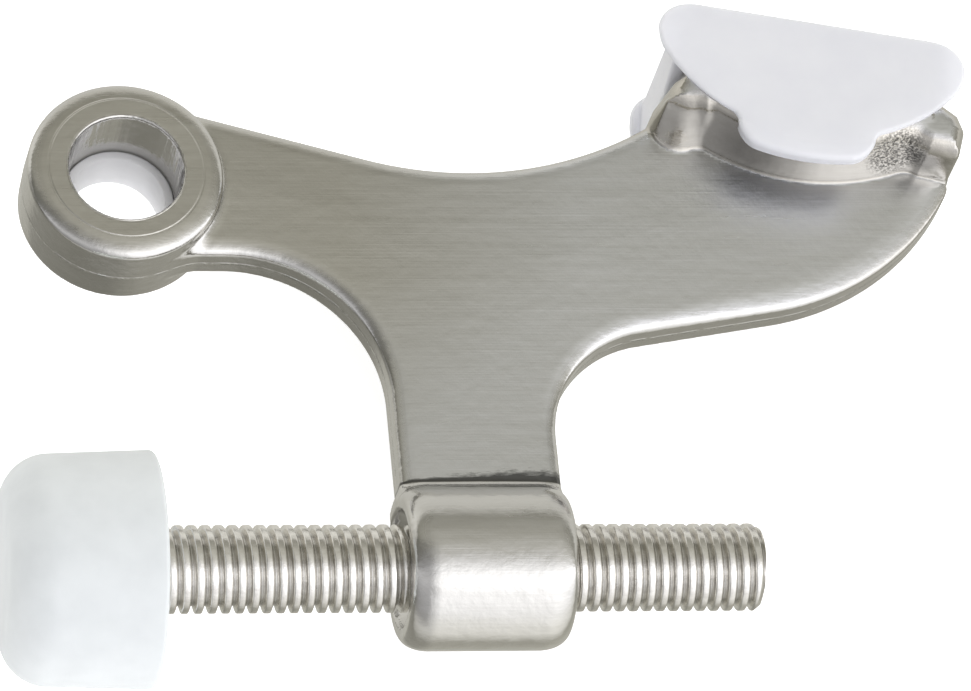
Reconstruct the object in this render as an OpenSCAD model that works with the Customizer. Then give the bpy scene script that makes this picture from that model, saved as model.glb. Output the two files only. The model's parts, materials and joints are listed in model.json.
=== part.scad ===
// Hinge-pin door stop: a cast arm that hangs on a door hinge's pin, with a screw bumper
// and a padded foot.
//
// Frame: the hinge pin's axis is Z and stands upright in use. The origin is on that axis,
// on the lower face of the bush, which rests on the hinge's knuckle. X runs along the rod,
// from its bumper towards its free end, and Y runs from the rod towards the foot pad.

/* [Hinge-pin eye] */
// Height of the eye
eye_h = 9; // [8:0.1:10]
// Outer radius of the eye at the parting plane
eye_r = 9.15; // [9:0.05:10]
// Radius of the bore in the metal
eye_bore_r = 5.3; // [5.2:0.05:5.8]
// Radius of the rounded outer edges of the eye
eye_edge_r = 1; // [0.8:0.1:2]

/* [Bush] */
// Radius of the hole for the hinge pin
bush_hole_r = 4.4; // [3.2:0.05:4.7]
// Radius of the bush's flange
bush_flange_r = 7; // [6:0.1:7.5]
// Thickness of the flange under the eye
bush_flange_t = 2.2; // [1:0.1:3]
// Length of the bush inside the eye
bush_spigot_l = 2.6; // [2:0.1:5]

/* [Arm] */
// Thickness of the arm
arm_t = 4.8; // [3.5:0.1:6]
// Radius of the hollow in the upper edge
hollow_r = 34; // [32:0.5:36]
// Radius of the rounded end of the arm
nose_r = 26; // [25.5:0.1:26.5]

/* [Barrel and rod] */
// Distance from the hinge pin's axis to the rod's axis
rod_drop = 38.65; // [37:0.05:42]
// Outer radius of the barrel
barrel_r = 7.5; // [7:0.1:8]
// Length of the barrel
barrel_l = 15.2; // [15:0.1:18]
// Radius over the rod's thread
rod_r = 4; // [3:0.5:4]
// Length of the rod
rod_l = 63.6; // [62:0.2:72]

/* [Bumper] */
// Radius of the bumper at its rim
bumper_r = 10.75; // [10:0.05:12]
// Length of the bumper
bumper_l = 13.7; // [12:0.1:16]
// Depth of the socket for the rod
socket_l = 8; // [6:0.5:9]

/* [Foot and pad] */
// Width of the crescent foot, across the arm
foot_w = 16.4; // [13:0.1:20]
// Tilt of the pad's face from the rod's direction
foot_tilt = 9.6; // [8:0.1:11]
// Thickness of the pad over the foot
pad_t = 2.2; // [1.6:0.1:3]
// Thickness of the pad's flanges
flange_t = 0.9; // [0.6:0.1:1.5]
// Half the width of the pad's flanges
flange_half_w = 14.7; // [14.4:0.1:15]
// Width of the hooked tab
tab_w = 13; // [10:0.5:14]

/* [Hidden] */
$fn = 96;

NICKEL = [0.62, 0.6, 0.56];
STEEL = [0.74, 0.73, 0.7];
NYLON = [0.9, 0.91, 0.92];
RUBBER = [0.93, 0.94, 0.94];
SOFT = [0.86, 0.88, 0.92];

// Height of the mid plane, where the arm, the rod and the foot are centred
mid_z = bush_flange_t + eye_h / 2;
// Clearance of a piece that is pushed on or into another
seat_gap = 0.02;
// Radial clearance of the rod in its threads and in the bumper
running_gap = 0.05;
// How far a cutting shape runs past the face that it cuts
overrun = 1;

// Eye and bush
eye_draft = 0.1;
bush_lead = 0.3;

// Arm outline
upper_slope = 16;
under_slope = 9.8;
hollow_low = 1.4;
hollow_x = 32.3;
hollow_end = 37.5;
under_y = -7.65;
neck_x0 = 23.2;
neck_x1 = 38.3;
left_r = 14.2;
right_r = 11;
nose_c = [55.8, 12.4];
nose_end = -28;
hollow_c = [hollow_x, hollow_low + hollow_r];
left_c = [neck_x0 - left_r, under_y - left_r];
right_c = [neck_x1 + right_r, -26.4];

// Barrel
barrel_x = neck_x0 - 0.3;
barrel_edge_r = 1.9;
bore_r = rod_r + running_gap;
mouth_r = 5.3;
mouth_l = 1.3;

// Rod and bumper
bumper_x = -13.4;
socket_end_gap = 0.2;
rod_x = bumper_x + bumper_l - socket_l + socket_end_gap;
rod_chamfer = 0.7;
bumper_edge_r = 4.3;
bumper_front_r = 10.45;
rim_edge_r = 0.4;

// Foot, in its own frame: X along the pad's face, Y out of that face, origin at the face's middle
foot_c = [65.4, 13.6];
foot_half_w = 11.5;
crescent_c = [0, 6.4];
crescent_r = 20.4;
crescent_draft = 1.8;
left_post = [-11.1, -9.7];
left_post_r = 2;
left_post_top = [-10.8, -7.3];
right_post = [12.9, -8.3];
right_post_r = 1.9;
right_post_top = [14.2, -6.9];
post_root = 3.5;
post_root_low = -9;
post_root_high = -5.2;

// Corners of the arm's outline that lie inside the foot
arm_root_left = foot_c + [-9, -4];
arm_root_right = foot_c + [9, -9];

// Pad
pad_face_r = 17;
pad_face_c = [0, 5];
pad_corner_r = 3;
flange_overhang = 1.2;
cap_left_end = -7;
cap_right_end = -5.2;
tab_corner_r = 2;
tab_r = 20.1;
lip_r = 19.05;
lip_l = 1;

// Points of an arc about c, from angle a0 to angle a1
function arc(c, r, a0, a1, steps = 24) =
    [for (i = [0:steps]) let (a = a0 + (a1 - a0) * i / steps) c + r * [cos(a), sin(a)]];

// Mirror image in the Y axis of all but the last of a list of points, in reverse order
function mirrored(points) = [for (i = [len(points) - 2:-1:0]) [-points[i].x, points[i].y]];

// Point of a ray from p at angle a where it crosses the line x = 0
function at_eye(p, a) = [0, p.y - tan(a) * p.x];

// Stands a shape in the foot's own frame
module in_foot_frame() {
    translate([foot_c.x, foot_c.y, mid_z]) rotate(-foot_tilt) children();
}

// Stands a shape on the rod's axis, with its own Z along the rod
module on_rod_axis(x) {
    translate([x, -rod_drop, mid_z]) rotate([0, 90, 0]) children();
}

// Side view of the arm, without the eye, the barrel and the foot
module arm_outline() {
    hollow = arc(hollow_c, hollow_r, 270 - upper_slope, 270 + hollow_end);
    polygon(concat(
        [at_eye(hollow[0], -upper_slope)],
        hollow,
        [arm_root_left, arm_root_right],
        arc(nose_c, nose_r, nose_end, under_slope - 90),
        arc(right_c, right_r, 90 + under_slope, 180),
        [[neck_x1, -rod_drop], [neck_x0, -rod_drop]],
        arc(left_c, left_r, 0, 90),
        [[0, under_y]]
    ));
}

// The eye: a ring with drafted sides and rounded edges
module eye() {
    half_h = eye_h / 2;
    corner = [eye_r - eye_draft - eye_edge_r, half_h - eye_edge_r];
    upper = arc(corner, eye_edge_r, 0, 90, 8);
    lower = [for (i = [8:-1:0]) [upper[i].x, -upper[i].y]];
    translate([0, 0, mid_z]) rotate_extrude()
        polygon(concat([[0, half_h], [0, -half_h]], lower, [[eye_r, 0]], upper));
}

// The barrel that the rod screws through, with rounded ends
module barrel() {
    low_end = arc([barrel_r - barrel_edge_r, barrel_edge_r], barrel_edge_r, -90, 0, 8);
    high_end = arc([barrel_r - barrel_edge_r, barrel_l - barrel_edge_r], barrel_edge_r, 0, 90, 8);
    on_rod_axis(barrel_x) rotate_extrude()
        polygon(concat([[0, 0]], low_end, high_end, [[0, barrel_l]]));
}

// The tapped bore, plain at the thread's outer radius, with a wide mouth at each end
module barrel_bore() {
    on_rod_axis(barrel_x) {
        translate([0, 0, -overrun]) cylinder(r = bore_r, h = barrel_l + 2 * overrun);
        translate([0, 0, -overrun]) cylinder(r = mouth_r, h = overrun);
        cylinder(r1 = mouth_r, r2 = bore_r, h = mouth_l);
        translate([0, 0, barrel_l - mouth_l]) cylinder(r1 = bore_r, r2 = mouth_r, h = mouth_l);
        translate([0, 0, barrel_l]) cylinder(r = mouth_r, h = overrun);
    }
}

// Side view of the two posts at the ends of the crescent
module posts_outline() {
    inner = foot_half_w - post_root;
    translate(left_post) circle(left_post_r);
    polygon([
        left_post - [left_post_r, 0], left_post_top, [-foot_half_w, post_root_high],
        [-inner, post_root_high], [-inner, post_root_low], left_post + [left_post_r, 0]
    ]);
    translate(right_post) circle(right_post_r);
    translate(right_post - [0, right_post_r]) square(right_post_r);
    polygon([
        right_post + [right_post_r, 0], right_post_top, [foot_half_w, post_root_high],
        [inner, post_root_high], [inner, post_root_low], right_post - [0, right_post_r]
    ]);
}

// The crescent foot: a half-moon block across the arm, with a post at each end
module foot() {
    half_w = foot_w / 2;
    in_foot_frame() {
        intersection() {
            translate([-foot_half_w, -crescent_r, -half_w])
                cube([2 * foot_half_w, crescent_r - pad_t, foot_w]);
            translate(crescent_c) for (side = [0, 1]) mirror([0, 0, side])
                cylinder(r1 = crescent_r, r2 = crescent_r - crescent_draft, h = half_w);
        }
        linear_extrude(foot_w, center = true) posts_outline();
    }
}

module body_casting() {
    color(NICKEL) difference() {
        union() {
            eye();
            translate([0, 0, mid_z]) linear_extrude(arm_t, center = true) arm_outline();
            barrel();
            foot();
        }
        cylinder(r = eye_bore_r, h = 2 * mid_z + eye_h);
        barrel_bore();
    }
}

module hinge_pin_bush() {
    length = bush_flange_t + bush_spigot_l;
    outer_r = eye_bore_r - seat_gap;
    color(NYLON) difference() {
        union() {
            cylinder(r = bush_flange_r, h = bush_flange_t - seat_gap);
            cylinder(r = outer_r, h = length - bush_lead);
            translate([0, 0, length - bush_lead])
                cylinder(r1 = outer_r, r2 = outer_r - bush_lead, h = bush_lead);
        }
        translate([0, 0, -overrun]) cylinder(r = bush_hole_r, h = length + 2 * overrun);
    }
}

module adjusting_rod() {
    color(STEEL) on_rod_axis(rod_x) {
        cylinder(r1 = rod_r - rod_chamfer, r2 = rod_r, h = rod_chamfer);
        translate([0, 0, rod_chamfer]) cylinder(r = rod_r, h = rod_l - 2 * rod_chamfer);
        translate([0, 0, rod_l - rod_chamfer])
            cylinder(r1 = rod_r, r2 = rod_r - rod_chamfer, h = rod_chamfer);
    }
}

module rod_bumper() {
    front = arc([bumper_front_r - bumper_edge_r, bumper_edge_r], bumper_edge_r, -90, 0, 12);
    rim = arc([bumper_r - rim_edge_r, bumper_l - rim_edge_r], rim_edge_r, 0, 90, 4);
    color(RUBBER) on_rod_axis(bumper_x) difference() {
        rotate_extrude() polygon(concat([[0, 0]], front, rim, [[0, bumper_l]]));
        translate([0, 0, bumper_l - socket_l]) cylinder(r = bore_r, h = socket_l + overrun);
    }
}

// Outline of the pad's flange: a half-moon with a tab under its middle
module flange_outline() {
    side_a = -acos(flange_half_w / pad_face_r);
    tab_a = -acos(tab_w / 2 / pad_face_r);
    corner_x = tab_w / 2 - tab_corner_r;
    corner_a = -acos(corner_x / (tab_r - tab_corner_r));
    corner_y = crescent_c.y + (tab_r - tab_corner_r) * sin(corner_a);
    right = concat(
        arc([flange_half_w - pad_corner_r, -pad_corner_r], pad_corner_r, 90, 0, 8),
        arc(pad_face_c, pad_face_r, side_a, tab_a, 12),
        arc([corner_x, corner_y], tab_corner_r, 0, corner_a, 6),
        arc(crescent_c, tab_r, corner_a, -90, 4)
    );
    polygon(concat(right, mirrored(right)));
}

// Outline of the pad between its flanges: a cap over the foot's face and both its ends
module cap_outline() {
    outer = flange_half_w - flange_overhang;
    inner = foot_half_w + seat_gap;
    inner_y = seat_gap - pad_t;
    polygon(concat(
        arc([outer - pad_corner_r, -pad_corner_r], pad_corner_r, 90, 0, 8),
        [[outer, cap_right_end], [inner, cap_right_end], [inner, inner_y]],
        [[-inner, inner_y], [-inner, cap_left_end], [-outer, cap_left_end]],
        arc([pad_corner_r - outer, -pad_corner_r], pad_corner_r, 180, 90, 8)
    ));
}

// The tab's lip, which hooks under the crescent
module lip_outline() {
    difference() {
        flange_outline();
        translate(crescent_c) circle(lip_r);
    }
}

module foot_pad() {
    seat_z = foot_w / 2 + seat_gap;
    color(SOFT) in_foot_frame() {
        linear_extrude(2 * seat_z, center = true) cap_outline();
        for (side = [0, 1]) mirror([0, 0, side]) {
            translate([0, 0, seat_z]) linear_extrude(flange_t) flange_outline();
            translate([0, 0, seat_z - lip_l]) linear_extrude(lip_l) lip_outline();
        }
    }
}

body_casting();
hinge_pin_bush();
adjusting_rod();
rod_bumper();
foot_pad();
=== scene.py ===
import json
import math
from types import SimpleNamespace

import bpy
import numpy as np
from mathutils import Matrix, Vector


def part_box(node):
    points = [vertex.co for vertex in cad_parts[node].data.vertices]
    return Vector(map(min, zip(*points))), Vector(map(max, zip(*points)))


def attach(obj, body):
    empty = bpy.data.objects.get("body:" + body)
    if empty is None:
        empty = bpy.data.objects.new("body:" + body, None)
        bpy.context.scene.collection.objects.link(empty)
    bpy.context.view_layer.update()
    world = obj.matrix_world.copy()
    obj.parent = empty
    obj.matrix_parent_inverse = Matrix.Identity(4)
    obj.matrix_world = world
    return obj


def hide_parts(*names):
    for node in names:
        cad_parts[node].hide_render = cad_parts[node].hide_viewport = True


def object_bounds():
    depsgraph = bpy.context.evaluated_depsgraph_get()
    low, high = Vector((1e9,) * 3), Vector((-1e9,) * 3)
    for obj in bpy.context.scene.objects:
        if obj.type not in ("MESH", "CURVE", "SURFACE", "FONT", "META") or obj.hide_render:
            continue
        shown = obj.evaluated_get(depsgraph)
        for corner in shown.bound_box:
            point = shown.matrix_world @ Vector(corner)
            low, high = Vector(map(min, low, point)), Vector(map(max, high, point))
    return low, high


# The looks of the hinge-pin door stop. Shapes are worked out in millimetres, in the row frame, and
# become metres when a mesh is made.

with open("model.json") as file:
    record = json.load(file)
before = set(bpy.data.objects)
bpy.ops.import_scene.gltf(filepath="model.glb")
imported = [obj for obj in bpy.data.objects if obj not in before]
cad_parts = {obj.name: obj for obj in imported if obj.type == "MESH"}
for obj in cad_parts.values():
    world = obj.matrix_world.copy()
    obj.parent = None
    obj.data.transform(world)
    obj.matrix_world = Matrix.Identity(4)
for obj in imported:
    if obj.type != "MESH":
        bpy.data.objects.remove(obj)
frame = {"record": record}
CAD_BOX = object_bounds()
MM = 0.001


# ---------------------------------------------------------------- sizes and places from the frame

def box_mm(node):
    """Lowest and highest corner of a CAD node, in millimetres."""
    low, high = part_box(node)
    return np.array(low) / MM, np.array(high) / MM


def mount(name):
    """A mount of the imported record."""
    return next(m for m in frame["record"]["mounts"] if m["name"] == name)


ROD_LOW, ROD_HIGH = box_mm("adjusting_rod")
BUMPER_LOW, BUMPER_HIGH = box_mm("rod_bumper")
BUSH_LOW, BUSH_HIGH = box_mm("hinge_pin_bush")
PIN_HEAD_Z = mount("pin_head_seat")["pos_m"][2] / MM
PAD_FACE = np.array(mount("pad_face")["pos_m"]) / MM
PAD_AXIS = mount("pad_face")["axis"]

MID_Z = (ROD_LOW[2] + ROD_HIGH[2]) / 2
ROD_Y = (ROD_LOW[1] + ROD_HIGH[1]) / 2
ROD_R = (ROD_HIGH[2] - ROD_LOW[2]) / 2
FOOT_TILT = math.atan2(PAD_AXIS[0], PAD_AXIS[1])

# The casting, with the same dimensions as in part.scad
EYE_HALF_H = PIN_HEAD_Z - MID_Z
EYE_R = 9.15
EYE_BORE_R = 5.3
ARM_HALF_T = 2.4
HOLLOW_R = 34
HOLLOW_C = (32.3, 35.4)
UPPER_SLOPE = 16
UNDER_SLOPE = 9.8
UNDER_Y = -7.65
NECK_X0 = 23.2
NECK_X1 = 38.3
LEFT_R = 14.2
RIGHT_R = 11
NOSE_R = 26
NOSE_C = (55.8, 12.4)
BARREL_R = 7.5
BARREL_X0 = 22.9
BARREL_X1 = 38.1
BORE_R = 4.05
MOUTH_R = 5.3
FOOT_HALF_L = 11.5
FOOT_HALF_W = 8.2
CRESCENT_R = 20.4
CRESCENT_V = 6.4
CRESCENT_DRAFT = 1.8

# Corners of the posts that end the crescent, in the foot's frame
LEFT_POST = ((-12.9, -9.8), (-9.3, -10.2), (-8, -9), (-8, -5.2), (-11.4, -5.2), (-10.9, -7.2))
RIGHT_POST = ((8, -9), (12, -10.4), (14.6, -10.4), (14.9, -8.2), (14.3, -6.9), (11.5, -5.2), (8, -5.2))

# The casting's rounded edges: the arm's reach in by more than they go down, and most of all at the nose
ARM_EDGE_R = 0.8
ARM_ROLL = 1.7
NOSE_ROLL = 2.6
NOSE_ROLL_FROM = 50
NOSE_ROLL_OVER = 12
EYE_EDGE_R = 1.05
EYE_ROLL = 2.4
BARREL_EDGE_R = 1.4
BARREL_ROLL = 2.5
POST_EDGE_R = 1.9
EYE_BORE_EDGE_R = 0.3
MOUTH_EDGE_R = 0.2

# Fillets where the casting's parts meet the arm
FOOT_FILLET = 0.35
BARREL_FILLET = 0.6
EYE_FILLET = 0.45

# The arm's flat faces fall away a little towards their outline
CROWN = 0.3
CROWN_REACH = 6

# The pad
PAD_T = 2.2
PAD_SEAT_Z = FOOT_HALF_W + 0.02
FLANGE_T = 0.9
FLANGE_HALF_L = 14.7
FLANGE_FACE_R = 17.3
FLANGE_FACE_V = 5
FLANGE_CORNER_R = 3
BACK_LEFT_END = -14.0
CAP_HALF_L = 13.0
CAP_LEFT_END = -7.4
CAP_RIGHT_END = -5.2
TAB_HALF_W = 6.5
TAB_R = 20.8
TAB_CORNER_R = 2
LIP_R = 19.3
FLANGE_EDGE_R = 0.38
FLANGE_DROOP = 0.22

# The rod's thread: its pitch, and its phase as a share of a turn
THREAD_PITCH = 1.25
THREAD_PHASE = 0.03

CASTING_STEPS = (0.3, 0.5)
PAD_STEPS = (0.2, 0.35)


# ---------------------------------------------------------------- solids as distance fields

def join(a, b, r):
    """Union of two solids, with a fillet of radius r where they meet."""
    return np.maximum(r, np.minimum(a, b)) - np.hypot(np.maximum(r - a, 0), np.maximum(r - b, 0))


def meet(a, b, r):
    """What two solids share, with the edge between them rounded by r."""
    return np.minimum(-r, np.maximum(a, b)) + np.hypot(np.maximum(r + a, 0), np.maximum(r + b, 0))


def cut(a, b, r):
    """Solid a less solid b, with the edge rounded by r."""
    return meet(a, -b, r)


def corner(x, y, centre, radius, a0, a1):
    """Distance out of a corner rounded by an arc from a0 to a1 degrees. Its sides are the arc's tangents."""
    dx = x - centre[0]
    dy = y - centre[1]
    c0, s0 = math.cos(math.radians(a0)), math.sin(math.radians(a0))
    c1, s1 = math.cos(math.radians(a1)), math.sin(math.radians(a1))
    in_arc = (c0 * dy - s0 * dx >= 0) & (s1 * dx - c1 * dy >= 0)
    sides = np.maximum(dx * c0 + dy * s0, dx * c1 + dy * s1)
    return np.where(in_arc, np.hypot(dx, dy), sides) - radius


def polygon(x, y, points):
    """Distance out of a polygon, whose points go counterclockwise."""
    nearest = np.inf
    inside = False
    for (ax, ay), (bx, by) in zip(points, points[1:] + points[:1]):
        ex, ey = bx - ax, by - ay
        wx, wy = x - ax, y - ay
        t = np.clip((wx * ex + wy * ey) / (ex * ex + ey * ey), 0, 1)
        nearest = np.minimum(nearest, np.hypot(wx - ex * t, wy - ey * t))
        crosses = (ay > y) != (by > y)
        slope = ex / ey if ey else 0.0
        inside = inside ^ (crosses & (wx < wy * slope))
    return np.where(inside, -nearest, nearest)


def foot_point(u, v, z):
    """A point given in the foot's own frame, in the row frame."""
    c, s = math.cos(FOOT_TILT), math.sin(FOOT_TILT)
    return (PAD_FACE[0] + u * c + v * s, PAD_FACE[1] - u * s + v * c, MID_Z + z)


def in_foot_frame(x, y):
    """A point in the foot's own frame: u along the pad's face, v out of it."""
    dx = x - PAD_FACE[0]
    dy = y - PAD_FACE[1]
    c, s = math.cos(FOOT_TILT), math.sin(FOOT_TILT)
    return dx * c - dy * s, dx * s + dy * c


def arm_outline(x, y):
    """Side view of the arm and its neck."""
    slope = math.radians(UNDER_SLOPE)
    under = (math.sin(slope), -math.cos(slope))
    reach = under[0] * NOSE_C[0] + under[1] * NOSE_C[1] + NOSE_R + RIGHT_R
    right_x = NECK_X1 + RIGHT_R
    right_c = (right_x, (reach - under[0] * right_x) / under[1])
    left_c = (NECK_X0 - LEFT_R, UNDER_Y - LEFT_R)

    upper = -corner(x, y, HOLLOW_C, HOLLOW_R, 270 - UPPER_SLOPE, 340)
    left = -corner(x, y, left_c, LEFT_R, 0, 90)
    right = -corner(x, y, right_c, RIGHT_R, 90 + UNDER_SLOPE, 180)
    nose = corner(x, y, NOSE_C, NOSE_R, UNDER_SLOPE - 90, 30)
    halfway = (right_c[0] + NOSE_C[0]) / 2
    under_side = np.where(x < halfway, right, nose)

    # The arm stops under the foot's face, with a slanted corner at its right
    u, v = in_foot_frame(x, y)
    slanted = 0.6 * (u - 10.4) + 0.8 * (v + 7.4)
    foot_end = meet(np.maximum(v + 5.5, slanted), u - 15.3, 0.5)
    ends = np.maximum(np.maximum(-x, ROD_Y - y), foot_end)
    return np.maximum(np.maximum(upper, left), meet(under_side, ends, 0.5))


def slab(d, z, half, r):
    """A flat shape made solid between -half and half, with its edges rounded by r."""
    return meet(d, np.abs(z) - half, r)


def eye(x, y, z):
    """The ring round the hinge pin, with drafted sides and well-rounded edges."""
    out = np.hypot(x, y) - EYE_R + 0.1 * np.abs(z) / EYE_HALF_H
    high = np.abs(z) - EYE_HALF_H
    rolled = meet(out / EYE_ROLL, (high - 0.015) / EYE_EDGE_R, 1.0) * EYE_EDGE_R
    return np.maximum(rolled, high)


def barrel(x, y, z):
    """The barrel on the rod's axis."""
    out = np.hypot(y - ROD_Y, z)
    middle = (BARREL_X0 + BARREL_X1) / 2
    end = np.abs(x - middle) - (BARREL_X1 - BARREL_X0) / 2
    return meet(end / BARREL_ROLL, (out - BARREL_R) / BARREL_EDGE_R, 1.0) * BARREL_EDGE_R


def barrel_bore(x, y, z):
    """The bore for the rod, with a countersunk mouth at each end."""
    out = np.hypot(y - ROD_Y, z)
    end = np.minimum(x - BARREL_X0, BARREL_X1 - x)
    mouth = MOUTH_R - np.clip(end - 0.5, 0, MOUTH_R - BORE_R)
    return (out - mouth) * 0.7


def posts(u, v, climb):
    """The posts that end the crescent. They climb from 0 at the arm to 1 at the pad's flange, and the left
    one leans back."""
    left = polygon(u, v, LEFT_POST)
    left = join(left - 0.3, np.hypot(u + 11.1, v + 9.5 - 1.6 * climb) - 2.7 + 1.6 * climb, 1.0)
    right = polygon(u, v, RIGHT_POST)
    return np.minimum(left, right - 0.4)


def foot(x, y, z):
    """The crescent foot and its posts."""
    u, v = in_foot_frame(x, y)
    radius = CRESCENT_R - CRESCENT_DRAFT * np.abs(z) / FOOT_HALF_W
    wall = slab(np.hypot(u, v - CRESCENT_V) - radius, z, FOOT_HALF_W, 0.9)
    block = np.maximum(wall, np.maximum(np.abs(u) - FOOT_HALF_L, v + PAD_T))
    climb = np.clip((np.abs(z) - ARM_HALF_T) / (FOOT_HALF_W - ARM_HALF_T), 0, 1)
    return join(block, slab(posts(u, v, climb), z, FOOT_HALF_W, POST_EDGE_R), 0.8)


def casting(x, y, z):
    """The whole casting, in the row frame."""
    z = z - MID_Z
    outline = arm_outline(x, y)
    crown = CROWN * np.exp(np.minimum(outline, 0) / CROWN_REACH)
    roll = ARM_ROLL + (NOSE_ROLL - ARM_ROLL) * np.clip((x - NOSE_ROLL_FROM) / NOSE_ROLL_OVER, 0, 1)
    high = np.abs(z) - ARM_HALF_T - 0.1 + crown
    arm = meet((outline + 0.1) / roll, high / ARM_EDGE_R, 1.0) * ARM_EDGE_R
    solid = join(arm, foot(x, y, z), FOOT_FILLET)
    solid = join(solid, barrel(x, y, z), BARREL_FILLET)
    solid = join(solid, eye(x, y, z), EYE_FILLET)
    solid = cut(solid, np.hypot(x, y) - EYE_BORE_R, EYE_BORE_EDGE_R)
    return cut(solid, barrel_bore(x, y, z), MOUTH_EDGE_R)


def pad_outline(u, v, left_end):
    """Side view of the pad's flange: a half-moon with a tab under its middle."""
    moon = meet(v, np.maximum(u - FLANGE_HALF_L, left_end - u), FLANGE_CORNER_R)
    moon = meet(moon, np.hypot(u, v - FLANGE_FACE_V) - FLANGE_FACE_R, 0.8)
    tab = meet(np.abs(u) - TAB_HALF_W, np.hypot(u, v - CRESCENT_V) - TAB_R, TAB_CORNER_R)
    return join(moon, np.maximum(tab, v + PAD_T), 0.7)


def pad(x, y, z):
    """The soft pad: a cap over the foot's face and ends, between two flanges with hooked tabs."""
    u, v = in_foot_frame(x, y)
    left_end = np.where(z < MID_Z, BACK_LEFT_END, -FLANGE_HALF_L)
    z = np.abs(z - MID_Z)
    outline = pad_outline(u, v + 0.02, left_end)
    out = np.hypot(u, v - CRESCENT_V)
    droop = FLANGE_DROOP * np.clip(1 + outline / 2.5, 0, 1) ** 2
    from_middle = np.abs(z + droop * 0.5 - PAD_SEAT_Z - FLANGE_T / 2)
    flange = meet(outline, from_middle - FLANGE_T / 2 + droop * 0.5, FLANGE_EDGE_R)
    lip = meet(np.maximum(outline, LIP_R - out), np.abs(z - PAD_SEAT_Z + 0.1) - 0.8, 0.4)
    cap = meet(v + 0.06, np.abs(u) - CAP_HALF_L, 2)
    hollow = np.maximum(np.abs(u) - FOOT_HALF_L, v + PAD_T)
    left_reach = CAP_LEFT_END + 1.3 * np.clip((z - 3.5) / 4, 0, 1)
    ends = np.where(u < 0, left_reach, CAP_RIGHT_END) - v
    shell = meet(np.maximum(cap, -hollow), ends, 0.4)
    shell = np.maximum(shell, z - PAD_SEAT_Z - FLANGE_T / 2)
    return join(join(flange, lip, 0.3), shell, 0.35)


# ---------------------------------------------------------------- meshes

def crossings_along(axis, value):
    """Where the surface crosses the grid's edges along one axis, and the four cells round each such edge, in
    order round the outward direction."""
    inside = value < 0
    stride = np.array([value.shape[1] * value.shape[2], value.shape[2], 1])
    first = [slice(None)] * 3
    second = [slice(None)] * 3
    first[axis] = slice(None, -1)
    second[axis] = slice(1, None)
    edge = np.argwhere(inside[tuple(first)] != inside[tuple(second)])
    start = edge @ stride
    flat = value.ravel()
    a, b = flat[start], flat[start + stride[axis]]
    point = edge.astype(float)
    point[:, axis] += a / (a - b)
    s, t = stride[(axis + 1) % 3], stride[(axis + 2) % 3]
    around = np.stack([start - s - t, start - t, start, start - s], axis=1)
    around[a > 0] = around[a > 0][:, ::-1]
    return point, around


def surface(field, low, high, step):
    """Points, quads and normals of a distance field's surface inside a box: a point for each crossed cell,
    moved onto the surface along the slope."""
    axes = [np.arange(low[i], high[i] + step, step) for i in range(3)]
    value = field(*np.meshgrid(*axes, indexing="ij", sparse=True))
    found = [crossings_along(axis, value) for axis in range(3)]
    crossings = np.concatenate([point for point, _ in found])
    cells = np.concatenate([around for _, around in found])
    _, index = np.unique(cells.ravel(), return_inverse=True)
    index = index.ravel()
    count = np.bincount(index)
    points = np.stack(
        [np.bincount(index, weights=np.repeat(crossings[:, i], 4)) / count for i in range(3)], axis=1
    )
    points = points * step + np.array([a[0] for a in axes])
    for _ in range(4):
        slope = gradient(field, points)
        away = field(*points.T) / np.maximum((slope**2).sum(1), 0.05)
        points = points - slope * np.clip(away, -step / 2, step / 2)[:, None]
    normals = gradient(field, points)
    normals /= np.linalg.norm(normals, axis=1)[:, None]
    return points, index.reshape(-1, 4), normals


def gradient(field, points, h=0.02):
    """Slope of a distance field at some points."""
    slope = np.empty_like(points)
    for i in range(3):
        ahead, behind = points.copy(), points.copy()
        ahead[:, i] += h
        behind[:, i] -= h
        slope[:, i] = (field(*ahead.T) - field(*behind.T)) / (2 * h)
    return slope


def make_piece(name, points, faces, material, normals=None):
    """A smooth mesh object from points in millimetres."""
    mesh = bpy.data.meshes.new(name)
    mesh.from_pydata((np.asarray(points) * MM).tolist(), [], [list(f) for f in faces])
    mesh.shade_smooth()
    if normals is not None:
        mesh.normals_split_custom_set_from_vertices(normals.tolist())
    mesh.materials.append(material)
    piece = bpy.data.objects.new(name, mesh)
    bpy.context.scene.collection.objects.link(piece)
    return piece


def arc(cx, cy, r, a0, a1, steps=10):
    """Points of an arc, from angle a0 to a1 in degrees."""
    angles = [math.radians(a0 + (a1 - a0) * i / steps) for i in range(steps + 1)]
    return [(cx + r * math.cos(a), cy + r * math.sin(a)) for a in angles]


def lathe(profile, sides=144):
    """Points and quads of a closed profile of (along, out) pairs, turned about the along axis. The points
    are (along, across, across)."""
    n = len(profile)
    turn = 2 * math.pi / sides
    points = [
        (a, r * math.cos(turn * j), r * math.sin(turn * j)) for j in range(sides) for a, r in profile
    ]
    faces = []
    for j in range(sides):
        k = (j + 1) % sides
        faces += [(j * n + i, j * n + (i + 1) % n, k * n + (i + 1) % n, k * n + i) for i in range(n)]
    return np.array(points), faces


def lathe_capped(profile, sides=144):
    """A turned shape whose open profile starts and ends on the axis."""
    inner = profile[1:-1]
    n = len(inner)
    turn = 2 * math.pi / sides
    points = [(a, r * math.cos(turn * j), r * math.sin(turn * j)) for j in range(sides) for a, r in inner]
    points += [(profile[0][0], 0, 0), (profile[-1][0], 0, 0)]
    start, end = sides * n, sides * n + 1
    faces = []
    for j in range(sides):
        k = (j + 1) % sides
        faces.append((start, j * n, k * n))
        faces.append((end, k * n + n - 1, j * n + n - 1))
        faces += [(j * n + i, j * n + i + 1, k * n + i + 1, k * n + i) for i in range(n - 1)]
    return np.array(points), faces


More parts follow.
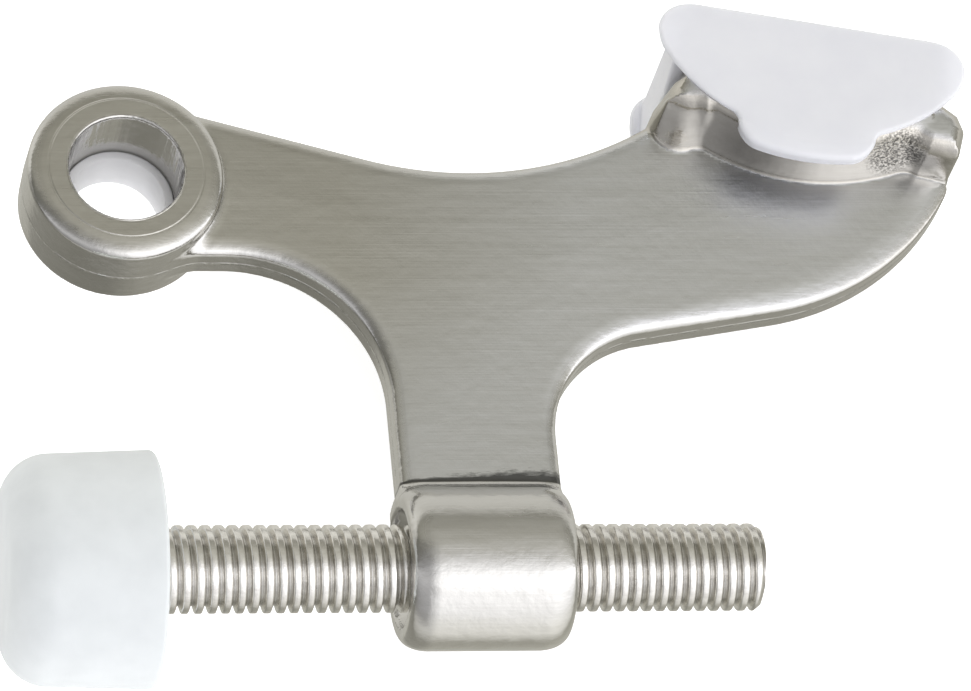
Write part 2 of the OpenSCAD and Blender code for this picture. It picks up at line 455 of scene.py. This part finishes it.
def thread(length, radius, pitch, phase, sides=96, rings_per_turn=18):
    """Points and faces of a right-hand threaded rod along X, with chamfered ends."""
    depth = 0.55 * pitch
    root_flat = 0.06
    flank = 0.54
    rings = int(length / pitch * rings_per_turn)
    along = np.linspace(0, length, rings + 1)[:, None]
    turn = np.linspace(0, 2 * np.pi, sides, endpoint=False)[None, :]
    wave = np.abs((along / pitch - turn / (2 * np.pi) + phase) % 1 - 0.5) * 2
    crest = np.clip((wave - root_flat) / flank, 0, 1)
    crest = crest * crest * (3 - 2 * crest)
    out = radius - depth * (1 - crest) - 0.03 * (1 - wave)
    end = np.minimum(along, length - along)
    out = np.minimum(out, radius - 0.45 + 0.8 * end)
    points = np.stack([along + 0 * turn, out * np.cos(turn), out * np.sin(turn)], axis=2).reshape(-1, 3)
    faces = []
    for i in range(rings):
        for j in range(sides):
            k = (j + 1) % sides
            faces.append((i * sides + j, i * sides + k, (i + 1) * sides + k, (i + 1) * sides + j))
    faces.append(tuple(range(sides))[::-1])
    faces.append(tuple(rings * sides + j for j in range(sides)))
    return points, faces


# ---------------------------------------------------------------- materials

def new_material(name, **sockets):
    """A material with one Principled shader, its constant sockets set."""
    material = bpy.data.materials.new(name)
    material.use_nodes = True
    shader = material.node_tree.nodes["Principled BSDF"]
    for key, value in sockets.items():
        shader.inputs[key.replace("_", " ")].default_value = value
    return material, material.node_tree, shader


def add(tree, kind, **settings):
    """A node of a kind, with its properties and inputs set."""
    node = tree.nodes.new(kind)
    for key, value in settings.items():
        if key in node.inputs:
            node.inputs[key].default_value = value
        else:
            setattr(node, key, value)
    return node


def place(tree, scale=(1, 1, 1), turn=(0, 0, 0)):
    """Coordinates in the row frame, in millimetres times a scale."""
    where = add(tree, "ShaderNodeTexCoord")
    mapping = add(tree, "ShaderNodeMapping")
    mapping.inputs["Scale"].default_value = [s / MM for s in scale]
    mapping.inputs["Rotation"].default_value = turn
    tree.links.new(where.outputs["Object"], mapping.inputs["Vector"])
    return mapping.outputs["Vector"]


def noise(tree, vector, scale=1.0, detail=3.0, rough=0.5):
    """A noise texture's value."""
    node = add(tree, "ShaderNodeTexNoise", Scale=scale, Detail=detail, Roughness=rough)
    tree.links.new(vector, node.inputs["Vector"])
    return node.outputs["Fac"]


def remap(tree, value, low, high, to_low, to_high):
    """A value moved from one range to another, and kept inside it."""
    node = add(tree, "ShaderNodeMapRange")
    for key, number in zip(("From Min", "From Max", "To Min", "To Max"), (low, high, to_low, to_high)):
        node.inputs[key].default_value = number
    tree.links.new(value, node.inputs["Value"])
    return node.outputs["Result"]


def from_noise(tree, value, to_low, to_high):
    """A noise's value, moved to a range from the one it is mostly in."""
    return remap(tree, value, 0.3, 0.7, to_low, to_high)


def math_node(tree, operation, a, b):
    """Two values put together."""
    node = add(tree, "ShaderNodeMath", operation=operation)
    for socket, value in zip(node.inputs, (a, b)):
        if isinstance(value, (int, float)):
            socket.default_value = value
        else:
            tree.links.new(value, socket)
    return node.outputs[0]


def product(tree, first, *others):
    """Values multiplied together."""
    for value in others:
        first = math_node(tree, "MULTIPLY", first, value)
    return first


def size_of(tree, value):
    """A value without its sign."""
    return math_node(tree, "ABSOLUTE", value, 0.0)


def hypotenuse(tree, a, b):
    """Length of a vector with two parts."""
    squares = math_node(tree, "ADD", math_node(tree, "POWER", a, 2.0), math_node(tree, "POWER", b, 2.0))
    return math_node(tree, "SQRT", squares, 0.0)


def parts_of(tree, vector):
    """The X, Y and Z of a vector."""
    node = add(tree, "ShaderNodeSeparateXYZ")
    tree.links.new(vector, node.inputs[0])
    return node.outputs


def scaled(tree, vector, value):
    """A colour or another vector, times a value."""
    node = add(tree, "ShaderNodeVectorMath", operation="SCALE")
    tree.links.new(vector, node.inputs[0])
    tree.links.new(value, node.inputs["Scale"])
    return node.outputs[0]


def distance_to(tree, point):
    """Distance from a point of the row frame, in millimetres."""
    away = add(tree, "ShaderNodeVectorMath", operation="DISTANCE")
    tree.links.new(place(tree), away.inputs[0])
    away.inputs[1].default_value = point
    return away.outputs["Value"]


def bump(tree, height, depth_mm, normal=None):
    """A bump of that depth, in millimetres, on top of another."""
    node = add(tree, "ShaderNodeBump", Distance=depth_mm * MM)
    tree.links.new(height, node.inputs["Height"])
    if normal is not None:
        tree.links.new(normal, node.inputs["Normal"])
    return node.outputs["Normal"]


def blend(tree, value, first, second):
    """A mix of two colour outputs, by a value."""
    node = add(tree, "ShaderNodeMix", data_type="RGBA")
    tree.links.new(value, node.inputs["Factor"])
    tree.links.new(first, node.inputs["A"])
    tree.links.new(second, node.inputs["B"])
    return node.outputs["Result"]


def ramp(tree, value, dark, light):
    """A colour between two, by a value."""
    node = add(tree, "ShaderNodeMix", data_type="RGBA")
    node.inputs["A"].default_value = dark
    node.inputs["B"].default_value = light
    tree.links.new(value, node.inputs["Factor"])
    return node.outputs["Result"]


# A fine ring on the eye's face, by its distance from the pin's axis
EYE_FACE_R = 7.2

# Places on the casting that look different, and how far each reaches, in millimetres: a rough-cast patch, and
# three places of painted shade
ROUGH_PATCH = foot_point(9, -10.5, 5.5)
ROUGH_REACH = (2.0, 3.4)
# Painted shade on the crescent's wall, under the pad's flange
PAINTED_SHADE_WALL = foot_point(-4.5, -12.8, 5.0)
PAINTED_SHADE_WALL_REACH = (1.5, 7.0)
# Painted shade on the right post
PAINTED_SHADE_POST = foot_point(12.2, -10.3, 5.0)
PAINTED_SHADE_POST_REACH = (1.0, 2.4)
# Painted shade on the rounded metal round the foot
FOOT_SHADE_CENTRE = foot_point(0, -9.5, 5.5)
FOOT_SHADE_REACH = (13.5, 16.5)

# Darker and lighter colour of the nickel, by place. The foot's darker colour is painted shade. The two
# colours of the arm's flat faces make a painted gradient of light, darker at the eye's end and lighter at the
# foot's.
ROUNDED_NICKEL = ((0.60, 0.59, 0.56, 1), (0.67, 0.66, 0.635, 1))
FOOT_PAINTED_SHADE_NICKEL = ((0.52, 0.495, 0.445, 1), (0.60, 0.575, 0.525, 1))
EYE_END_PAINTED_SHADE_NICKEL = ((0.55, 0.535, 0.49, 1), (0.625, 0.61, 0.56, 1))
FOOT_END_PAINTED_LIGHT_NICKEL = ((0.72, 0.725, 0.73, 1), (0.80, 0.805, 0.82, 1))


def casting_values(tree):
    """Noises, masks and places that the colour, the roughness and the bumps of the casting share."""
    geometry = add(tree, "ShaderNodeNewGeometry")
    upright = size_of(tree, parts_of(tree, geometry.outputs["Normal"])["Z"])
    at = parts_of(tree, place(tree))
    return SimpleNamespace(
        x=at["X"],
        y=at["Y"],
        z=at["Z"],
        above_rod=math_node(tree, "SUBTRACT", at["Y"], float(ROD_Y)),
        from_pin=hypotenuse(tree, at["X"], at["Y"]),
        pointiness=geometry.outputs["Pointiness"],
        flat=remap(tree, upright, 0.82, 0.975, 0.0, 1.0),
        rough_patch=remap(tree, distance_to(tree, ROUGH_PATCH), *ROUGH_REACH, 1.0, 0.0),
        lines=noise(tree, place(tree, (0.05, 5.5, 5.5), (0, 0, -0.05)), 1.0, 4.0, 0.6),
        scuffs=noise(tree, place(tree, (0.12, 1.2, 1.2), (0, 0, 0.12)), 1.0, 3.0, 0.55),
        cast=noise(tree, place(tree), 0.8, 3.0, 0.5),
        grain=noise(tree, place(tree), 9.0, 2.0, 0.5),
        pits=noise(tree, place(tree), 4.4, 2.0, 0.5),
    )


def casting_colour(tree, on):
    """The plate's colour: one on rounded parts, a darker one round the foot that is painted shade, and two on
    the arm's flat faces, which change over from the eye's end to the foot's as a painted gradient of light."""
    tone = product(tree, math_node(tree, "ADD", on.scuffs, on.lines), 0.5)
    tone = from_noise(tree, tone, 0, 1)
    # Painted shade: the rounded metal round the foot takes a darker, warmer colour
    painted_foot_shade = remap(tree, distance_to(tree, FOOT_SHADE_CENTRE), *FOOT_SHADE_REACH, 1.0, 0.0)
    rounded = blend(tree, painted_foot_shade, ramp(tree, tone, *ROUNDED_NICKEL), ramp(tree, tone, *FOOT_PAINTED_SHADE_NICKEL))
    # Painted light: the flat faces grow lighter from the eye's end towards the foot's end and down the neck
    painted_light_down_neck = remap(tree, on.y, -10, -40, 0, 30)
    painted_light_spread = remap(tree, math_node(tree, "ADD", on.x, painted_light_down_neck), 20, 42, 0, 1)
    face = blend(tree, painted_light_spread, ramp(tree, tone, *EYE_END_PAINTED_SHADE_NICKEL), ramp(tree, tone, *FOOT_END_PAINTED_LIGHT_NICKEL))
    on_arm = product(tree, on.flat, remap(tree, on.above_rod, BARREL_R, BARREL_R + 0.5, 0, 1))
    return blend(tree, on_arm, rounded, face)


def painted_corner_shade(tree, on):
    """Painted shade in the corner above the barrel, as a factor from 0.2 to 1: a ragged dark wedge that
    widens along X.
    """
    ragged = noise(tree, place(tree, (0.8, 3.0, 3.0)), 1.0, 3.0, 0.6)
    width = product(tree, remap(tree, on.x, 24, 34, 0.3, 1.25), from_noise(tree, ragged, 0.6, 1.3))
    above_corner = math_node(tree, "SUBTRACT", on.above_rod, BARREL_R + 0.1)
    in_band = remap(tree, math_node(tree, "DIVIDE", above_corner, width), 0.5, 1.1, 1.0, 0.0)
    in_band = product(tree, in_band, remap(tree, above_corner, -0.1, 0.0, 0.0, 1.0))
    return remap(tree, in_band, 0.0, 1.0, 1.0, 0.2)


def casting_tone(tree, on):
    """How much the plate is darkened by painted shade in crevices, in the corner above the barrel, on the
    crescent's wall and on the right post, and by the pits of the rough patch; painted light makes it lighter
    below the rod.
    """
    # Painted shade in concave crevices, found by pointiness
    painted_crevice_shade = remap(tree, on.pointiness, 0.40, 0.485, 0.35, 1.0)
    # Painted light: the metal below the rod's axis is made up to 1.35 times lighter
    painted_underside_light = remap(tree, on.above_rod, -5.0, -7.3, 1.0, 1.35)
    # Painted shade on the crescent's wall and on the right post, kept off the flat faces
    painted_wall_shade = remap(tree, distance_to(tree, PAINTED_SHADE_WALL), *PAINTED_SHADE_WALL_REACH, 0.42, 0.95)
    painted_post_shade = remap(tree, distance_to(tree, PAINTED_SHADE_POST), *PAINTED_SHADE_POST_REACH, 0.5, 1.0)
    painted_shade_off_flat = math_node(tree, "MAXIMUM", product(tree, painted_wall_shade, painted_post_shade), on.flat)
    specks = product(tree, remap(tree, on.pits, 0.40, 0.62, 0.75, -0.2), on.rough_patch)
    clear = math_node(tree, "SUBTRACT", 1.0, specks)
    return product(tree, painted_crevice_shade, painted_corner_shade(tree, on), painted_underside_light, painted_shade_off_flat, clear)


def casting_roughness(tree, on):
    """Smoother on rounded parts than on the brushed faces."""
    rough = add(tree, "ShaderNodeMix", data_type="FLOAT")
    tree.links.new(on.flat, rough.inputs["Factor"])
    tree.links.new(from_noise(tree, on.cast, 0.12, 0.20), rough.inputs["A"])
    tree.links.new(from_noise(tree, on.scuffs, 0.27, 0.36), rough.inputs["B"])
    return rough.outputs["Result"]


def casting_normal(tree, on):
    """Waviness and grain of the casting, brushing, the ring on the eye, the parting line, streaks in the bore
    and the pits of the rough patch."""
    normal = bump(tree, on.cast, 0.05)
    normal = bump(tree, on.grain, 0.004, normal)
    normal = bump(tree, product(tree, on.lines, on.flat), 0.015, normal)
    from_ring = size_of(tree, math_node(tree, "SUBTRACT", on.from_pin, EYE_FACE_R))
    normal = bump(tree, remap(tree, from_ring, 0.03, 0.14, 0.0, 1.0), 0.05, normal)
    from_parting = size_of(tree, math_node(tree, "SUBTRACT", on.z, MID_Z))
    clear_of_bores = product(
        tree, remap(tree, on.from_pin, 6.0, 6.2, 0, 1), remap(tree, on.above_rod, 9, 10, 0, 1)
    )
    flash = product(tree, remap(tree, from_parting, 0.05, 0.2, 1.0, 0.0), clear_of_bores)
    normal = bump(tree, product(tree, flash, remap(tree, on.cast, 0.35, 0.6, 0.2, 1.0)), 0.06, normal)
    streaks = noise(tree, place(tree, (0.7, 0.7, 0.03)), 1.0, 2.0, 0.6)
    in_bore = remap(tree, on.from_pin, EYE_BORE_R + 0.2, EYE_BORE_R + 0.3, 1.0, 0.0)
    normal = bump(tree, product(tree, streaks, in_bore), 0.2, normal)
    return bump(tree, product(tree, on.pits, on.rough_patch), 0.12, normal)


def satin_nickel():
    """Satin nickel plate on a die casting: brushed flat faces, smoother rounded edges and a parting line."""
    material, tree, shader = new_material("satin_nickel", Metallic=1.0)
    on = casting_values(tree)
    colour = scaled(tree, casting_colour(tree, on), casting_tone(tree, on))
    tree.links.new(colour, shader.inputs["Base Color"])
    tree.links.new(casting_roughness(tree, on), shader.inputs["Roughness"])
    tree.links.new(casting_normal(tree, on), shader.inputs["Normal"])
    return material


def plated_steel():
    """Rolled and plated thread, with painted shade in its roots."""
    material, tree, shader = new_material("plated_steel", Metallic=1.0)
    stain = noise(tree, place(tree, (0.6, 1.2, 1.2)), 1.0, 4.0, 0.6)
    grain = noise(tree, place(tree), 6.0, 3.0, 0.6)
    colour = ramp(tree, from_noise(tree, stain, 0, 1), (0.72, 0.70, 0.66, 1), (0.88, 0.865, 0.83, 1))
    at = parts_of(tree, place(tree))
    above = math_node(tree, "SUBTRACT", at["Y"], float(ROD_Y))
    beside = math_node(tree, "SUBTRACT", at["Z"], float(MID_Z))
    out = hypotenuse(tree, above, beside)
    # Painted shade in the roots of the thread
    painted_root_shade = remap(tree, out, ROD_R - 0.68, ROD_R - 0.45, 0.75, 1.0)
    tree.links.new(scaled(tree, colour, painted_root_shade), shader.inputs["Base Color"])
    tree.links.new(from_noise(tree, grain, 0.14, 0.26), shader.inputs["Roughness"])
    tree.links.new(bump(tree, grain, 0.012), shader.inputs["Normal"])
    return material


def soft_plastic(name, dark, light, scatter, rough, depth_mm, **sockets):
    """A smooth moulded plastic or rubber that light enters a little way."""
    material, tree, shader = new_material(name, **sockets)
    shader.inputs["Subsurface Weight"].default_value = scatter
    shader.inputs["Subsurface Scale"].default_value = MM
    shader.inputs["Subsurface Radius"].default_value = (1, 1, 1)
    cloud = noise(tree, place(tree), 0.35, 3.0, 0.5)
    grain = noise(tree, place(tree), 5.0, 2.0, 0.5)
    tree.links.new(ramp(tree, from_noise(tree, cloud, 0, 1), dark, light), shader.inputs["Base Color"])
    tree.links.new(from_noise(tree, grain, rough - 0.05, rough + 0.06), shader.inputs["Roughness"])
    tree.links.new(bump(tree, grain, depth_mm), shader.inputs["Normal"])
    return material


def floor_paper():
    """Plain white paper."""
    material, _, shader = new_material("floor_paper", Roughness=0.9)
    shader.inputs["Base Color"].default_value = (0.93, 0.93, 0.93, 1)
    shader.inputs["Emission Color"].default_value = (1, 1, 1, 1)
    shader.inputs["Emission Strength"].default_value = 0.65
    return material


# ---------------------------------------------------------------- the pieces

NICKEL = satin_nickel()
STEEL = plated_steel()
NYLON = soft_plastic(
    "white_nylon", (0.77, 0.77, 0.79, 1), (0.84, 0.84, 0.86, 1), scatter=0.5, rough=0.38, depth_mm=0.004
)
RUBBER = soft_plastic(
    "white_rubber", (0.67, 0.695, 0.705, 1), (0.71, 0.735, 0.745, 1), scatter=0.5, rough=0.55, depth_mm=0.006
)
SOFT = soft_plastic(
    "soft_pad",
    (0.785, 0.79, 0.83, 1),
    (0.81, 0.815, 0.85, 1),
    scatter=0.6,
    rough=0.34,
    depth_mm=0.004,
    Transmission_Weight=0.15,
)


def finish_piece(piece, body, node):
    """Puts a piece on its body, in place of its CAD node."""
    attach(piece, body)
    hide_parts(node)
    return piece


def make_casting():
    """The casting in one piece: eye, arm, barrel and foot."""
    low, high = box_mm("body_casting")
    step = CASTING_STEPS[0]
    points, quads, normals = surface(casting, low - 1.5, high + 1.5, step)
    piece = make_piece("cast_body", points, quads, NICKEL, normals)
    return finish_piece(piece, "arm", "body_casting")


def make_pad():
    """The soft pad on the foot."""
    low, high = box_mm("foot_pad")
    step = PAD_STEPS[0]
    points, quads, normals = surface(pad, low - 1, high + 1, step)
    piece = make_piece("clip_on_pad", points, quads, SOFT, normals)
    return finish_piece(piece, "arm", "foot_pad")


def make_bush():
    """The flanged bush, turned about the hinge pin's axis."""
    flange_r = (BUSH_HIGH[0] - BUSH_LOW[0]) / 2
    hole_r = mount("hinge_pin_bore")["dims"]["r_mm"]
    bottom, top = BUSH_LOW[2], BUSH_HIGH[2]
    flange_top = MID_Z - EYE_HALF_H - 0.02
    spigot_r = EYE_BORE_R - 0.02
    hole_edge = 0.3
    flange_edge = 0.35
    spigot_edge = 0.25
    top_edge = 0.15
    profile = (
        arc(bottom + hole_edge, hole_r + hole_edge, hole_edge, 270, 180, 5)
        + arc(bottom + flange_edge, flange_r - flange_edge, flange_edge, 180, 90, 6)
        + arc(flange_top - flange_edge, flange_r - flange_edge, flange_edge, 90, 0, 6)
        + [(flange_top, spigot_r + 0.1), (flange_top + 0.1, spigot_r)]
        + arc(top - spigot_edge, spigot_r - spigot_edge, spigot_edge, 90, 0, 5)
        + arc(top - top_edge, hole_r + top_edge, top_edge, 0, -90, 4)
    )
    points, faces = lathe(profile)
    points = points[:, [1, 2, 0]]
    piece = make_piece("pin_bush", points, faces, NYLON)
    return finish_piece(piece, "arm", "hinge_pin_bush")


def make_bumper():
    """The push-on bumper, with a large round front edge and a slight flare to its rim."""
    front, back = BUMPER_LOW[0], BUMPER_HIGH[0]
    rim_r = (BUMPER_HIGH[2] - BUMPER_LOW[2]) / 2
    front_r = rim_r - 0.3
    front_edge = 4.3
    rim_edge = 0.4
    socket_edge = 0.3
    socket_x = ROD_LOW[0] - 0.2
    profile = (
        [(front, 0.0)]
        + [(front, r) for r in (2.0, 4.0)]
        + arc(front + front_edge, front_r - front_edge, front_edge, 180, 90, 18)
        + arc(back - rim_edge, rim_r - rim_edge, rim_edge, 90, 0, 6)
        + arc(back - socket_edge, BORE_R + socket_edge, socket_edge, 0, -90, 5)
        + [(socket_x, BORE_R), (socket_x, 0.0)]
    )
    points, faces = lathe_capped(profile)
    points = points + np.array([0, ROD_Y, MID_Z])
    piece = make_piece("push_on_bumper", points, faces, RUBBER)
    return finish_piece(piece, "bumper", "rod_bumper")


def make_rod():
    """The threaded rod."""
    points, faces = thread(ROD_HIGH[0] - ROD_LOW[0], ROD_R, THREAD_PITCH, THREAD_PHASE)
    points = points + np.array([ROD_LOW[0], ROD_Y, MID_Z])
    piece = make_piece("threaded_rod", points, faces, STEEL)
    return finish_piece(piece, "rod", "adjusting_rod")


make_casting()
make_bush()
make_bumper()
make_rod()
make_pad()


# ---------------------------------------------------------------- floor, light and camera

def make_floor():
    """A sheet of pale paper under the lowest point, which metal doesn't reflect."""
    half = 2.0
    z = CAD_BOX[0][2]
    corners = [(-half, -half, z), (half, -half, z), (half, half, z), (-half, half, z)]
    mesh = bpy.data.meshes.new("floor")
    mesh.from_pydata(corners, [], [(0, 1, 2, 3)])
    mesh.materials.append(floor_paper())
    floor = bpy.data.objects.new("floor", mesh)
    bpy.context.scene.collection.objects.link(floor)
    floor.visible_glossy = False


def direction(azimuth, elevation):
    """Unit vector to a place seen from the object; azimuth 0 is towards -Y, and grows towards +X."""
    a, e = math.radians(azimuth), math.radians(elevation)
    return Vector((math.sin(a) * math.cos(e), -math.cos(a) * math.cos(e), math.sin(e)))


# The fitted camera: where it looks and how far it is, in metres, its angles in degrees and its lens in mm
TARGET = Vector((0.03285, -0.01596, MID_Z * MM))
CAMERA_AZIMUTH = -23.83
CAMERA_ELEVATION = 60.47
CAMERA_ROLL = 21.14
CAMERA_DISTANCE = 0.65192
CAMERA_LENS = 262.8


def soft_light(name, azimuth, elevation, distance, width, height, watts):
    """A soft box that faces the object."""
    light = bpy.data.lights.new(name, "AREA")
    light.shape = "RECTANGLE"
    light.size = width
    light.size_y = height
    light.energy = watts
    lamp = bpy.data.objects.new(name, light)
    lamp.location = TARGET + direction(azimuth, elevation) * distance
    lamp.rotation_euler = direction(azimuth, elevation).to_track_quat("Z", "Y").to_euler()
    lamp.visible_glossy = False
    bpy.context.scene.collection.objects.link(lamp)


# Brightness of the studio, by the angle in degrees round the X axis: -90 is straight down, 0 is level on
# the camera's side, 90 is straight up and 180 is level on the far side. STUDIO_TOP is its highest colour.
STUDIO = (
    (-180, 0.74),
    (-140, 0.62),
    (-112, 0.48),
    (-80, 0.42),
    (-62, 0.36),
    (-42, 0.76),
    (-20, 0.93),
    (0, 1.15),
    (28, 1.55),
    (44, 1.95),
    (56, 1.80),
    (70, 1.18),
    (87, 0.69),
    (104, 0.49),
    (118, 0.45),
    (127, 0.33),
    (133, 0.33),
    (141, 0.27),
    (147, 0.20),
    (151, 0.72),
    (180, 0.74),
)
STUDIO_TOP = 2.0
NEUTRAL_FROM = 1.2


def studio_colour(level):
    """Dark parts of the studio are warm, and bright parts neutral."""
    t = min(level / NEUTRAL_FROM, 1)
    return [level / STUDIO_TOP * c for c in (1, 0.975 + 0.025 * t, 0.80 + 0.23 * t)] + [1]


def studio_ramp(tree, angle):
    """The studio's colour at an angle round the X axis, in radians."""
    stops = add(tree, "ShaderNodeValToRGB")
    tree.links.new(remap(tree, angle, -math.pi, math.pi, 0, 1), stops.inputs["Fac"])
    elements = stops.color_ramp.elements
    elements[1].position = 1
    for degrees, level in STUDIO[1:-1]:
        elements.new((degrees + 180) / 360).color = studio_colour(level)
    elements[0].color = studio_colour(STUDIO[0][1])
    elements[len(elements) - 1].color = studio_colour(STUDIO[-1][1])
    return stops.outputs["Color"]


def studio_sides(tree, towards):
    """How bright the studio is from left to right. It is darkest at the near left, except low down."""
    far = product(tree, math_node(tree, "MAXIMUM", towards["Y"], 0.0), 2.0)
    across = math_node(tree, "ADD", towards["X"], far)
    near_left = remap(tree, across, -0.3, 0.28, 0.38, 1.12)
    right = remap(tree, math_node(tree, "SUBTRACT", towards["X"], far), 0.5, 0.85, 1.12, 1.1)
    far_left = product(
        tree, remap(tree, towards["X"], -0.3, -0.7, 0, 0.2), remap(tree, far, 0, 0.5, 0, 1)
    )
    side = math_node(tree, "ADD", math_node(tree, "MINIMUM", near_left, right), far_left)
    below = remap(tree, towards["Z"], 0.0, -0.5, 0.0, 0.75)
    return math_node(tree, "MAXIMUM", side, below)


def make_world():
    """Soft studio walls: bright behind the camera, mid grey overhead, a dark band on the far wall."""
    world = bpy.data.worlds.new("studio")
    bpy.context.scene.world = world
    world.use_nodes = True
    tree = world.node_tree
    towards = parts_of(tree, add(tree, "ShaderNodeTexCoord").outputs["Generated"])
    angle = math_node(tree, "ARCTAN2", towards["Z"], product(tree, towards["Y"], -1.0))
    shaded = scaled(tree, studio_ramp(tree, angle), studio_sides(tree, towards))
    background = tree.nodes["Background"]
    tree.links.new(shaded, background.inputs["Color"])
    background.inputs["Strength"].default_value = STUDIO_TOP


def make_camera():
    """The camera, far off with a long lens."""
    data = bpy.data.cameras.new("camera")
    data.sensor_width = 36
    data.lens = CAMERA_LENS
    data.clip_start = 0.01
    data.clip_end = 10
    camera = bpy.data.objects.new("camera", data)
    back = direction(CAMERA_AZIMUTH, CAMERA_ELEVATION)
    turn = back.to_track_quat("Z", "Y").to_matrix()
    roll = Matrix.Rotation(math.radians(CAMERA_ROLL), 3, "Z")
    place_back = Matrix.Translation(TARGET + back * CAMERA_DISTANCE)
    camera.matrix_world = place_back @ (turn @ roll).to_4x4()
    bpy.context.scene.collection.objects.link(camera)
    bpy.context.scene.camera = camera


make_floor()
make_world()
soft_light("key", azimuth=24, elevation=60, distance=1.0, width=0.6, height=0.56, watts=0.1)
soft_light("fill", azimuth=180, elevation=70, distance=1.0, width=0.8, height=0.8, watts=4.5)
make_camera()
bpy.context.scene.view_settings.view_transform = "Standard"
